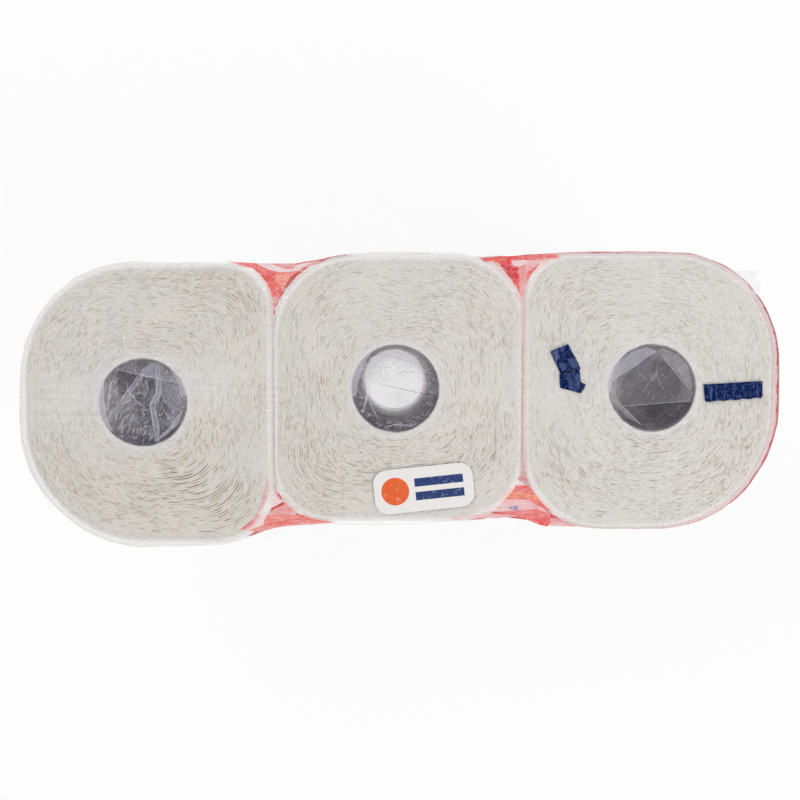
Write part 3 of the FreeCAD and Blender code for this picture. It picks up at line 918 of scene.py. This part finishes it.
class Graph:
    """A material whose nodes are added by short calls. Positions are in millimetres."""

    def __init__(self, name):
        self.material = bpy.data.materials.new(name)
        self.material.use_nodes = True
        self.tree = self.material.node_tree
        self.shader = self.tree.nodes["Principled BSDF"]
        in_metres = self.add("TexCoord").outputs["Object"]
        self.place = self.vector("MULTIPLY", in_metres, (1 / MM,) * 3)
        self.x, self.y, self.z = (Value(self, part) for part in self.add("SeparateXYZ", self.place).outputs)

    def feed(self, socket, value):
        source = getattr(value, "socket", value)
        if isinstance(source, bpy.types.NodeSocket):
            self.tree.links.new(source, socket)
        else:
            socket.default_value = value

    def add(self, kind, *inputs, **settings):
        node = self.tree.nodes.new("ShaderNode" + kind)
        for name, setting in settings.items():
            setattr(node, name, setting)
        for socket, value in zip(node.inputs, inputs):
            self.feed(socket, value)
        return node

    def math(self, operation, *values):
        return Value(self, self.add("Math", *values, operation=operation).outputs[0])

    def vector(self, operation, *values):
        return Value(self, self.add("VectorMath", *values, operation=operation).outputs[0])

    def join(self, x, y, z):
        return Value(self, self.add("CombineXYZ", x, y, z).outputs[0])

    def most(self, first, *others):
        for other in others:
            first = self.math("MAXIMUM", first, other)
        return first

    def attribute(self, name, output="Fac"):
        return Value(self, self.add("Attribute", attribute_name=name).outputs[output])

    def noise(self, vector, scale, detail=2.0, output="Fac"):
        node = self.add("TexNoise", vector)
        node.inputs["Scale"].default_value = scale
        node.inputs["Detail"].default_value = detail
        return Value(self, node.outputs[output])

    def warp(self, vector, scale, amount):
        """Shifts a place by smooth noise."""
        shift = self.vector("SUBTRACT", self.noise(vector, scale, output="Color"), (0.5, 0.5, 0.5))
        return self.vector("ADD", vector, self.vector("MULTIPLY", shift, (amount,) * 3))

    def squeezed(self, x, y, z):
        """The place with each direction scaled on its own, so that noise there is drawn out."""
        return self.join(self.x * x, self.y * y, self.z * z)

    def streaked(self, degrees, along, across):
        """The place, squeezed so that noise there runs in streaks at an angle to x."""
        cos, sin = cos_and_sin(degrees)
        run = self.x.scaled(cos, self.y * sin)
        side = self.y.scaled(cos, self.x * -sin)
        return self.join(run * along, side * across, 0.0)

    def wall_wrinkles(self):
        """Long wrinkles down the wrap's sides: their height, and how far a point is on a
        bright or a dark flank of one, where the colour gets a painted highlight or painted shade."""
        height = self.noise(self.warp(self.squeezed(0.05, 0.05, 0.022), 1.0, 0.4), 1.0)
        ramp = (height * 9.0).put_in("FRACT")
        patchy = self.step(self.noise(self.place, 0.035), 0.42, 0.58)
        return height, self.step(ramp, 0.45, 1.0) * patchy, self.step(ramp, 0.3, 0.0) * patchy

    def reach(self, centre):
        """How far a point is from an upright line, and in what direction."""
        dx, dy = self.x - float(centre[0]), self.y - float(centre[1])
        return dx.scaled(dx, dy * dy).put_in("SQRT"), self.math("ARCTAN2", dy, dx)

    def step(self, value, low, high, to_low=0.0, to_high=1.0):
        limits = (low, high, to_low, to_high)
        return Value(self, self.add("MapRange", value, *limits, interpolation_type="SMOOTHSTEP").outputs[0])

    def fade(self, value, low, high):
        return self.step(value, low, high, 1.0, 0.0)

    def band(self, value, low, high, soft):
        """One between two values, and nought outside them."""
        return self.step(value, low - soft, low + soft) * self.fade(value, high - soft, high + soft)

    def line(self, value, width, strength=1.0):
        """Thin lines where a value passes one half."""
        return self.step(abs(value - 0.5), 0.0, width, strength, 0.0)

    def mix(self, share, first, second):
        node = self.add("Mix", share, data_type="RGBA")
        for socket, colour in ((node.inputs[6], first), (node.inputs[7], second)):
            self.feed(socket, colour if isinstance(colour, Value) else (*colour, 1.0))
        return Value(self, node.outputs[2])

    def thin(self, alpha):
        """Film lets most light through to what lies under it, however milky it looks."""
        path = self.add("LightPath").outputs
        light = self.math("MAXIMUM", path["Is Shadow Ray"], path["Is Diffuse Ray"])
        return self.math("MULTIPLY", alpha, light.scaled(-LIGHT_THROUGH_FILM, 1.0))

    def bump(self, height, distance, strength):
        node = self.add("Bump", strength, distance * MM)
        self.feed(node.inputs["Height"], height)
        self.feed(self.shader.inputs["Normal"], node.outputs[0])

    def finish(self, **inputs):
        for name, value in inputs.items():
            self.feed(self.shader.inputs[name.replace("_", " ")], value)
        return self.material


def paper_material():
    """Soft tissue: short dark strokes between the turns on the ends, painted shade down in the gaps,
    and dimples on the sides, with painted shade in their pressed lines.
    """
    g = Graph("tissue")
    turn, gap, end, lap = (g.attribute(name) for name in ("turn", "gap", "end", "lap"))
    swayed = turn + g.noise(g.place, 0.2).scaled(3.0, -1.5)
    coarse = g.step(g.noise(g.join(swayed * 2.1, g.x * 0.36, g.y * 0.36), 1.0, 1.0), 0.55, 0.67)
    fine = g.step(g.noise(g.join(swayed * 3.5, g.x * 0.62, g.y * 0.62), 1.0, 1.0), 0.52, 0.68)
    patchy = g.step(g.noise(g.place, 0.05), 0.34, 0.6, 0.45, 1.0)
    strokes = end * patchy * coarse.scaled(0.4, fine * 0.22)
    tone = g.step(g.noise(g.place, 0.07), 0.35, 0.65)
    # painted light: the ends grow paler towards the pack's right, as if more light falls there
    face = g.mix(g.step(g.x, -120.0, 120.0), g.mix(tone, PAPER_LIGHT, PAPER_COOL), PAPER_PALE)
    on_side = 1.0 - end
    # painted shade: the strokes and the gaps between the turns darken towards a shaded brown
    colour = g.mix(g.most(strokes, gap * 0.85), g.mix(on_side, face, PAPER_SIDE), PAPER_GAP_SHADE)
    waves = [abs((g.z.scaled(slope, lap) * QUILTING).put_in("SINE")) for slope in (1.0, -1.0)]
    lowest = g.math("MINIMUM", *waves)
    pressed = g.most(g.fade(lowest, 0.0, 0.3) * on_side, g.step(lowest, 0.86, 0.96) * on_side)
    # painted shade along the pressed lines of the embossing
    colour = g.mix(pressed * 0.34, colour, EMBOSS_SHADE)
    fibre = g.noise(g.place, 2.4, 5.0)
    g.bump(fibre * 0.35 - strokes * 0.8 - pressed * 1.1, 0.6, 0.6)
    roughness = g.step(fibre, 0.2, 0.8, 0.82, 0.98)
    return g.finish(Base_Color=colour, Roughness=roughness, Specular_IOR_Level=0.2, Sheen_Weight=0.15)


def card_material():
    """Grey card, wound on a slant, so that its strips show as a spiral seam."""
    g = Graph("card")
    seam = g.line(g.z.scaled(1 / SEAM_RISE, g.attribute("turn")).put_in("FRACT"), 0.02)
    fibre = g.noise(g.place, 1.4, 5.0)
    tone = fibre.scaled(0.6, g.noise(g.place, 0.12) * 0.5)
    colour = g.mix(g.step(tone, 0.35, 0.8), CARD_DARK, CARD_LIGHT)
    colour = g.mix(seam * 0.6, colour, CARD_DARK)
    g.bump(fibre - seam, 0.3, 0.5)
    return g.finish(Base_Color=colour, Roughness=g.step(fibre, 0.2, 0.8, 0.7, 0.9))


def wall_print(g):
    """The colours printed on the sides, and where there is print at all."""
    streak = g.noise(g.squeezed(0.05, 0.05, 0.25), 1.0, 4.0)
    colour = g.mix(g.step(streak, 0.35, 0.7), RED, DEEP_RED)
    sway = g.noise(g.place, 0.18).scaled(5.0, -2.5)
    level = (g.x * 0.045).put_in("SINE").scaled(9.0, g.z) + sway
    colour = g.mix(g.band(level, 92, 132, 9), colour, ORANGE)
    colour = g.mix(g.band(level, 138, 160, 1.2), colour, FILM_WHITE)
    blocks = g.band((g.x * (1 / 24)).put_in("FRACT"), 0.3, 0.62, 0.02)
    colour = g.mix(blocks * g.band(level, 143, 155, 0.6), colour, NAVY)
    colour = g.mix(g.band(level, 30, 38, 0.8), colour, FILM_WHITE)
    lines = g.step((level * 0.9).put_in("SINE"), 0.75, 0.95)
    colour = g.mix(lines * g.band(level, 44, 80, 1.5), colour, SALMON)

    curve = (g.z * 0.03).put_in("SINE").scaled(5.0, g.x)
    from_middle = abs(g.x - g.y.scaled(0.08, 4.0))
    inside = from_middle - (g.z * 0.032).put_in("COSINE").scaled(6.0, 25.0)
    present = g.step(curve, PRINT_START, PRINT_START + 1.0) * g.step(inside, -0.4, 0.4)
    colour = g.mix(g.band(inside, 0.0, 2.2, 0.3), colour, FILM_WHITE)
    colour = g.mix(g.band(curve, PRINT_START, PRINT_START + 4.0, 0.5), colour, FILM_WHITE)
    return colour, present


def core_gathers(g):
    """Milky film drawn in round the mouths of the cores, in fine spokes."""
    total = 0.0
    uneven = g.noise(g.place, 0.35, 3.0).scaled(1.2, -0.6)
    for roll in UPPER_ROLLS:
        distance, direction = g.reach(roll.centre)
        spokes = g.noise(g.join(direction * 15.0, distance * 0.12, 0.0), 1.0, 3.0)
        distance = distance + uneven
        ring = g.step(distance, 18.9, 20.2) * g.fade(distance, 20.4, 26.0)
        total = ring * g.step(spokes, 0.4, 0.65, 0.85, 1.0) + total
    return total * g.step(g.z, FILM_TOP - 12, FILM_TOP - 10)


def film_material():
    """The wrap's clear and printed film."""
    g = Graph("wrap_film")
    rim = g.attribute("rim")
    below = FILM_TOP - g.z
    colour, present = wall_print(g)
    fray = g.noise(g.place, 0.3, 3.0).scaled(2.4, -1.2)
    printed = present * g.step(below.scaled(0.2, rim) + fray, 0.9, 1.5)
    pale = g.step(g.noise(g.squeezed(0.05, 0.3, 0.3), 1.0, 3.0), 0.46, 0.58)
    frayed = g.mix(g.step(fray, -0.4, 0.6), SALMON, FILM_WHITE)
    colour = g.mix(pale * g.step(below, 3.0, 12.0, 0.85, 0.0), colour, frayed)

    # painted light: the film over the gaps between the rolls is whitish where light bounces in, pink where it
    # has come through the red print
    in_gap = g.fade(below, 4.0, 8.0) * g.step(rim, -4.2, -0.8)
    gap_light = g.mix(g.band(g.x, -58.6, -55.8, 1.5), GAP_WHITE, GAP_GREY)
    gap_light = g.mix(g.band(g.x, 54.2, 57.2, 1.5), gap_light, GAP_PINK)

    haze = g.step(g.noise(g.place, 0.06, 3.0), 0.45, 0.72, 0.02, 0.11) + g.attribute("milky") * 0.9
    crease = g.noise(g.squeezed(0.05, 0.35, 0.1), 1.0, 4.0)
    # thin whiter lines along the creases: partly whitened film and partly painted glints
    clear = haze + g.step(below, 2.0, 9.0, 0.0, 0.1) + g.line(crease, 0.01, 0.12)
    alpha = g.most(clear, core_gathers(g) * 0.62, in_gap * 0.66, printed * 0.9)
    on_wall = g.step(below, 4.0, 14.0) * g.step(g.z, 1.0, 6.0)
    wall, glint, shaded_flank = g.wall_wrinkles()
    glint = glint * on_wall
    # painted shade on the wrinkles' dark flanks and painted highlights on their bright ones
    colour = g.mix(shaded_flank * on_wall * 0.3, colour, DEEP_RED)
    colour = g.mix(glint * 0.3, colour, FILM_WHITE)
    small = g.noise(g.place, 0.5, 4.0)
    g.bump(wall.scaled(on_wall * 3.0, small.scaled(0.5, crease * 1.2)), 1.6, 0.8)
    return g.finish(
        Base_Color=g.mix(printed, g.mix(in_gap, FILM_CLEAR, gap_light), colour),
        Alpha=g.thin(g.math("MINIMUM", glint.scaled(0.3, alpha), 0.95)),
        Roughness=g.step(small, 0.2, 0.8, 0.12, 0.3),
        IOR=1.7,
        Specular_IOR_Level=0.6,
    )


def layer_material(name, haze, wrinkle):
    """One more clear layer of film, where the wrap is folded or lapped."""
    g = Graph(name)
    cloud = g.noise(g.place, 0.11, 3.0)
    folds = g.noise(g.squeezed(0.35, 0.12, 0.2), 1.6, 5.0)
    g.bump(folds, 1.5, 0.8)
    # thin whiter lines along its folds: partly whitened film and partly painted glints
    return g.finish(
        Base_Color=g.mix(cloud, FILM_CLEAR, FILM_WHITE),
        Alpha=g.thin(g.step(cloud, 0.35, 0.7, haze * 0.6, haze) + g.line(folds, 0.03, wrinkle)),
        Roughness=g.step(folds, 0.3, 0.7, 0.1, 0.25),
        IOR=1.7,
        Specular_IOR_Level=0.6,
    )


def crumple_material(name, roll, streaks, cover, lines, centre_share, top_share=0.0):
    """Crumpled clear film in the mouth of a core: long facets painted from shade to a lit, milky
    tone, with a painted highlight on a bright edge against a dark one where they meet. Streaks
    gives the facets' direction in degrees, and how fine they are along and across it. Centre_share
    is how much of this shows in the middle, and top_share how strong crinkles are at the back."""
    g = Graph(name)
    distance, _ = g.reach(roll.centre)
    ramps = []
    for streak in streaks:
        level = g.noise(g.warp(g.streaked(*streak), 0.8, 1.0), 1.0)
        ramps.append((level * 8.0).put_in("FRACT"))
    facet = ramps[0] * ramps[1].scaled(0.6, 0.4)
    patchy = g.step(g.noise(g.place, 0.25), 0.4, 0.6, 0.15, 1.0)
    edge = g.most(*(g.step(ramp, 0.8, 0.98) for ramp in ramps)) * patchy
    alpha = g.most(facet.scaled(0.3 * cover, 0.7 * cover), edge * lines)
    alpha = alpha * g.step(distance, 10.0, 16.5, centre_share, 1.0)
    # painted shade and light on the facets, and a painted highlight on their bright edges
    colour = g.mix(edge, g.mix(g.step(facet, 0.05, 0.75), SHADED_FILM, LIT_HAZY_FILM), FROST_AND_HIGHLIGHT)

    above = g.step(g.y - float(roll.centre[1]), 2.0, 8.0, 0.0, top_share)
    crinkle = g.line(g.noise(g.warp(g.streaked(4, 0.2, 0.6), 0.9, 1.4), 1.0, 3.0), 0.026) * above
    crinkle_colour = g.mix(g.step(distance, 12.5, 15.0), GREY_LINE, FROST_AND_HIGHLIGHT)
    g.bump(facet, 0.8, 0.6)
    return g.finish(
        Base_Color=g.mix(crinkle, colour, crinkle_colour),
        Alpha=g.thin(g.most(alpha, crinkle)),
        Roughness=g.step(facet, 0.0, 1.0, 0.14, 0.32),
        IOR=1.6,
        Specular_IOR_Level=0.5,
    )


def veil_material():
    """Flat folds of clear film, each as milky as it is told, with bright wrinkles that are
    painted highlights. In the cores' mouths some of the tints are painted shade.
    """
    g = Graph("veil")
    colour, cover = g.attribute("tint", "Color"), g.attribute("tint", "Alpha")
    wrinkle = g.noise(g.warp(g.streaked(52, 0.05, 0.22), 0.8, 0.8), 1.0)
    ramp = (wrinkle * 8.0).put_in("FRACT")
    # painted highlights along the wrinkles' bright lines
    line = g.step(ramp, 0.8, 0.98) * g.step(g.noise(g.place, 0.2), 0.45, 0.6)
    g.bump(wrinkle, 0.8, 0.5)
    return g.finish(
        Base_Color=g.mix(line * 0.16, colour, FILM_WHITE),
        Alpha=g.thin(cover * ramp.scaled(0.4, 0.75)),
        Roughness=g.step(wrinkle, 0.3, 0.7, 0.25, 0.4),
        IOR=1.5,
    )


def flap_print_material():
    """The printed end's flaps: the wall's print again, a little darker where it is double, with
    painted highlights and painted shade on the flanks of its wrinkles.
    """
    g = Graph("end_flap_print")
    colour, _ = wall_print(g)
    wrinkle, glint, shaded_flank = g.wall_wrinkles()
    g.bump(wrinkle, 3.0, 0.8)
    return g.finish(
        Base_Color=g.mix(glint * 0.34, g.mix(shaded_flank.scaled(0.3, 0.2), colour, DEEP_RED), FILM_WHITE),
        Alpha=g.thin(0.86),
        Roughness=g.step(wrinkle, 0.3, 0.7, 0.16, 0.3),
        IOR=1.6,
    )


def fold_material():
    """Printed film over the gaps, in the colour that each fold is given."""
    g = Graph("fold_print")
    colour, cover = g.attribute("tint", "Color"), g.attribute("tint", "Alpha")
    streak = g.noise(g.squeezed(0.12, 0.6, 0.3), 1.0, 4.0)
    wrinkle = g.noise(g.warp(g.place, 0.3, 4.0), 0.45, 3.0)
    colour = g.mix(g.step(streak, 0.5, 0.75, 0.0, 0.35), colour, FILM_WHITE)
    colour = g.mix(g.step(streak, 0.48, 0.25, 0.0, 0.4), colour, RED)
    g.bump(streak + wrinkle, 1.0, 0.6)
    # thin white lines along the wrinkles: painted highlights
    return g.finish(
        Base_Color=g.mix(g.line(wrinkle, 0.025, 0.45), colour, FILM_WHITE),
        Alpha=g.thin(cover),
        Roughness=g.step(wrinkle, 0.3, 0.7, 0.15, 0.35),
        IOR=1.5,
    )


def mark_material():
    """Navy print on wrinkled film, with painted highlights: paler blue on the wrinkles and thin
    shining lines along the folds.
    """
    g = Graph("navy_print")
    wrinkle = g.noise(g.join(g.x * 0.55, g.y * 0.1, g.z), 1.0, 4.0)
    fold = g.noise(g.warp(g.place, 0.4, 3.0), 0.5, 3.0)
    shine = g.line(fold, 0.02) * g.step(g.noise(g.place, 0.35), 0.38, 0.5)
    # painted highlights on the navy print
    colour = g.mix(g.most(g.step(wrinkle, 0.52, 0.72, 0.0, 0.5), shine), NAVY, NAVY_HIGHLIGHT)
    g.bump(wrinkle + fold, 1.0, 0.8)
    return g.finish(Base_Color=colour, Roughness=g.step(wrinkle, 0.3, 0.7, 0.4, 0.6), Specular_IOR_Level=0.05)


def label_material(centre):
    """A plain printed panel: white, with an orange disc beside two blue bars."""
    g = Graph("label_print")
    cos, sin = cos_and_sin(LABEL_TILT)
    dx, dy = g.x - centre[0], g.y - centre[1]
    along, across = dx.scaled(cos, dy * sin), dy.scaled(cos, dx * -sin)
    from_disc = along + DISC_LEFT_OF_MIDDLE
    disc = from_disc.scaled(from_disc, across * across)
    colour = g.mix(g.fade(disc, 38.0, 41.0), LABEL_WHITE, LABEL_ORANGE)
    bars = g.band(across, 1.2, 5.0, 0.12) + g.band(across, -5.0, -1.2, 0.12)
    colour = g.mix(bars * g.band(along, -4.0, 18.0, 0.12), colour, LABEL_BLUE)
    wrinkle = g.noise(g.place, 0.5, 4.0)
    colour = g.mix(g.step(wrinkle, 0.55, 0.75, 0.0, 0.25), colour, FILM_WHITE)
    g.bump(wrinkle, 0.8, 0.6)
    return g.finish(Base_Color=colour, Roughness=g.step(wrinkle, 0.3, 0.7, 0.3, 0.5), Specular_IOR_Level=0.3)


# The stage


def add_light(name, place, target, size, power):
    data = bpy.data.lights.new(name, "AREA")
    data.shape = "DISK"
    data.size = size
    data.energy = power
    light = add_object(name, data)
    light.location = place
    light.rotation_euler = (Vector(target) - Vector(place)).to_track_quat("-Z", "Y").to_euler()
    return light


def add_floor():
    """A white floor that shows the pack's shadow faintly."""
    mesh = bpy.data.meshes.new("floor")
    sides = [(-1, -1), (1, -1), (1, 1), (-1, 1)]
    corners = [(x * FLOOR_HALF_SIDE, y * FLOOR_HALF_SIDE, 0) for x, y in sides]
    mesh.from_pydata(corners, [], [(0, 1, 2, 3)])
    add_object("floor", mesh)
    g = Graph("floor_white")
    path = g.add("LightPath").outputs
    seen = g.most(*(Value(g, path[f"Is {ray} Ray"]) for ray in ("Camera", "Glossy", "Transmission")))
    glow = g.add("Emission", (1, 1, 1, 1))
    mixed = g.add("MixShader", seen * FLOOR_GLOW_SHARE, g.shader.outputs[0], glow.outputs[0])
    g.feed(g.tree.nodes["Material Output"].inputs["Surface"], mixed.outputs[0])
    mesh.materials.append(g.finish(Base_Color=(0.9, 0.9, 0.9, 1), Roughness=0.9))


def add_camera():
    """The camera looks down on the upper end, from over the point that the rolls' axes
    seem to run to."""
    focal = PIXELS_PER_MM * CAMERA_ABOVE_PACK
    over_x, over_y = seen_at(*NADIR)
    data = bpy.data.cameras.new("camera")
    data.sensor_width = 36.0
    data.lens = focal / PICTURE_SIDE * data.sensor_width
    camera = add_object("camera", data)
    camera.location = Vector((over_x, over_y, FILM_TOP + CAMERA_ABOVE_PACK)) * MM
    middle = PICTURE_SIDE / 2
    back = -Vector(((middle - NADIR[0]) / focal, -(middle - NADIR[1]) / focal, -1)).normalized()
    right = Vector((0, 1, 0)).cross(back).normalized()
    camera.rotation_euler = Matrix((right, back.cross(right), back)).transposed().to_euler()
    bpy.context.scene.camera = camera


def add_lights():
    """An even white studio, two large lamps, and a faint one under each bore."""
    world = bpy.data.worlds.new("studio")
    world.use_nodes = True
    tree = world.node_tree
    background = tree.nodes["Background"]
    background.inputs["Color"].default_value = (1.0, 1.0, 1.0, 1)
    path = tree.nodes.new("ShaderNodeLightPath")
    strength = tree.nodes.new("ShaderNodeMath")
    strength.operation = "MULTIPLY_ADD"
    strength.inputs[1].default_value = 1.0 - WORLD_LIGHT
    strength.inputs[2].default_value = WORLD_LIGHT
    tree.links.new(path.outputs["Is Camera Ray"], strength.inputs[0])
    tree.links.new(strength.outputs[0], background.inputs["Strength"])
    bpy.context.scene.world = world
    add_light("key", (-0.7, 0.9, 1.5), (0, 0, 0.19), LAMP_SIZE, LAMP_POWER)
    add_light("fill", (0.9, -0.7, 1.3), (0, 0, 0.19), LAMP_SIZE, LAMP_POWER)
    for roll in UPPER_ROLLS:
        x, y = roll.centre * MM
        light = add_light(f"glow_{roll.column.name}", (x, y, 0.002), (x, y, 0.1), 0.034, 0.02)
        light.visible_camera = False


# The pack


def add_layers(veil):
    """The lap, folds, creases and gathered ends of the clear film."""
    lapped = layer_material("lapped_film", haze=0.1, wrinkle=0.08)
    draped_sheet("film_lap", [all_seen_at(LAP)], 9, over_film(0.25), lapped)

    tinted_sheet("film_folds_in_cores", CORE_FOLDS, CORE_CREASES, flat_at(FILM_TOP - 1.5), veil)
    tinted_sheet("film_core_haze", MOUTH_HAZE, [], over_film(0.35), veil)
    left, middle, right = UPPER_ROLLS
    streaks = [(72, 0.05, 0.2), (25, 0.08, 0.16)]
    deep = crumple_material("film_left_core", left, streaks, cover=0.85, lines=0.3, centre_share=1.0)
    core_sheet("film_in_left_core", left, depth=7.0, crumple=4.0, seed=2.0, material=deep)
    streaks = [(8, 0.1, 0.4), (-40, 0.12, 0.34)]
    sparkle = crumple_material(
        "film_middle_core", middle, streaks, cover=0.5, lines=0.9, centre_share=0.03, top_share=0.6
    )
    core_sheet("film_in_middle_core", middle, depth=4.0, crumple=1.5, seed=7.0, material=sparkle)
    streaks = [(48, 0.05, 0.2), (-30, 0.06, 0.18)]
    faint = crumple_material("film_right_core", right, streaks, cover=0.16, lines=0.06, centre_share=0.7)
    core_sheet("film_in_right_core", right, depth=9.0, crumple=1.0, seed=5.0, material=faint)

    bright = layer_material("creased_film", haze=0.42, wrinkle=0.3)
    creases = [ribbon(line, width) for width, line in CLEAR_CREASES]
    draped_sheet("film_creases", creases, 3, over_film(0.9), bright)
    hazy = layer_material("folded_film", haze=0.32, wrinkle=0.3)
    draped_sheet("film_front_flap", [all_seen_at(FRONT_FLAP)], 6, flat_at(FILM_TOP - 9), hazy)
    draped_sheet("film_corner_tab", [all_seen_at(CORNER_TAB)], 6, flat_at(FILM_TOP - 4), bright)


def add_print(veil):
    """Folds of printed film over the gaps, and the marks on the film."""
    tinted_sheet("film_gap_folds", FOLDS, [], flat_at(FILM_TOP - 0.8), fold_material())
    marks = [all_seen_at(RIGHT_MARK), all_seen_at(LEFT_MARK)]
    draped_sheet("print_marks", marks, 5, over_film(0.5), mark_material())
    tinted_sheet("print_mark_folds", MARK_FOLDS, MARK_CREASES, over_film(0.6), veil)
    cos, sin = cos_and_sin(LABEL_TILT)
    half = np.array(LABEL_SIZE) / 2
    label = rounded_outline(box_corners(-half, half, (LABEL_ROUNDING,) * 4), LABEL_POINTS)
    turned = label @ np.array([[cos, sin], [-sin, cos]]) + LABEL_PLACE
    draped_sheet("print_label", [turned.tolist()], 6, over_film(0.5), label_material(LABEL_PLACE))


def main():
    bpy.context.scene.view_settings.view_transform = "Standard"
    add_camera()
    add_lights()
    add_floor()

    paper = paper_material()
    card = card_material()
    for index, roll in enumerate(UPPER_ROLLS):
        winding(roll, "upper", TURNS, AROUND, 3.7 * index, paper)
        card_tube(roll, "upper", index, card)
    for index, roll in enumerate(LOWER_ROLLS):
        winding(roll, "lower", HIDDEN_TURNS, HIDDEN_AROUND, 3.7 * index + 11, paper)
        card_tube(roll, "lower", index + 5, card)

    film = film_shell(wrap_outline(UPPER_ROLLS), film_material())
    end_flaps(film, -1, layer_material("end_flap_clear", haze=0.16, wrinkle=0.2))
    end_flaps(film, 1, flap_print_material())
    veil = veil_material()
    add_layers(veil)
    add_print(veil)


main()
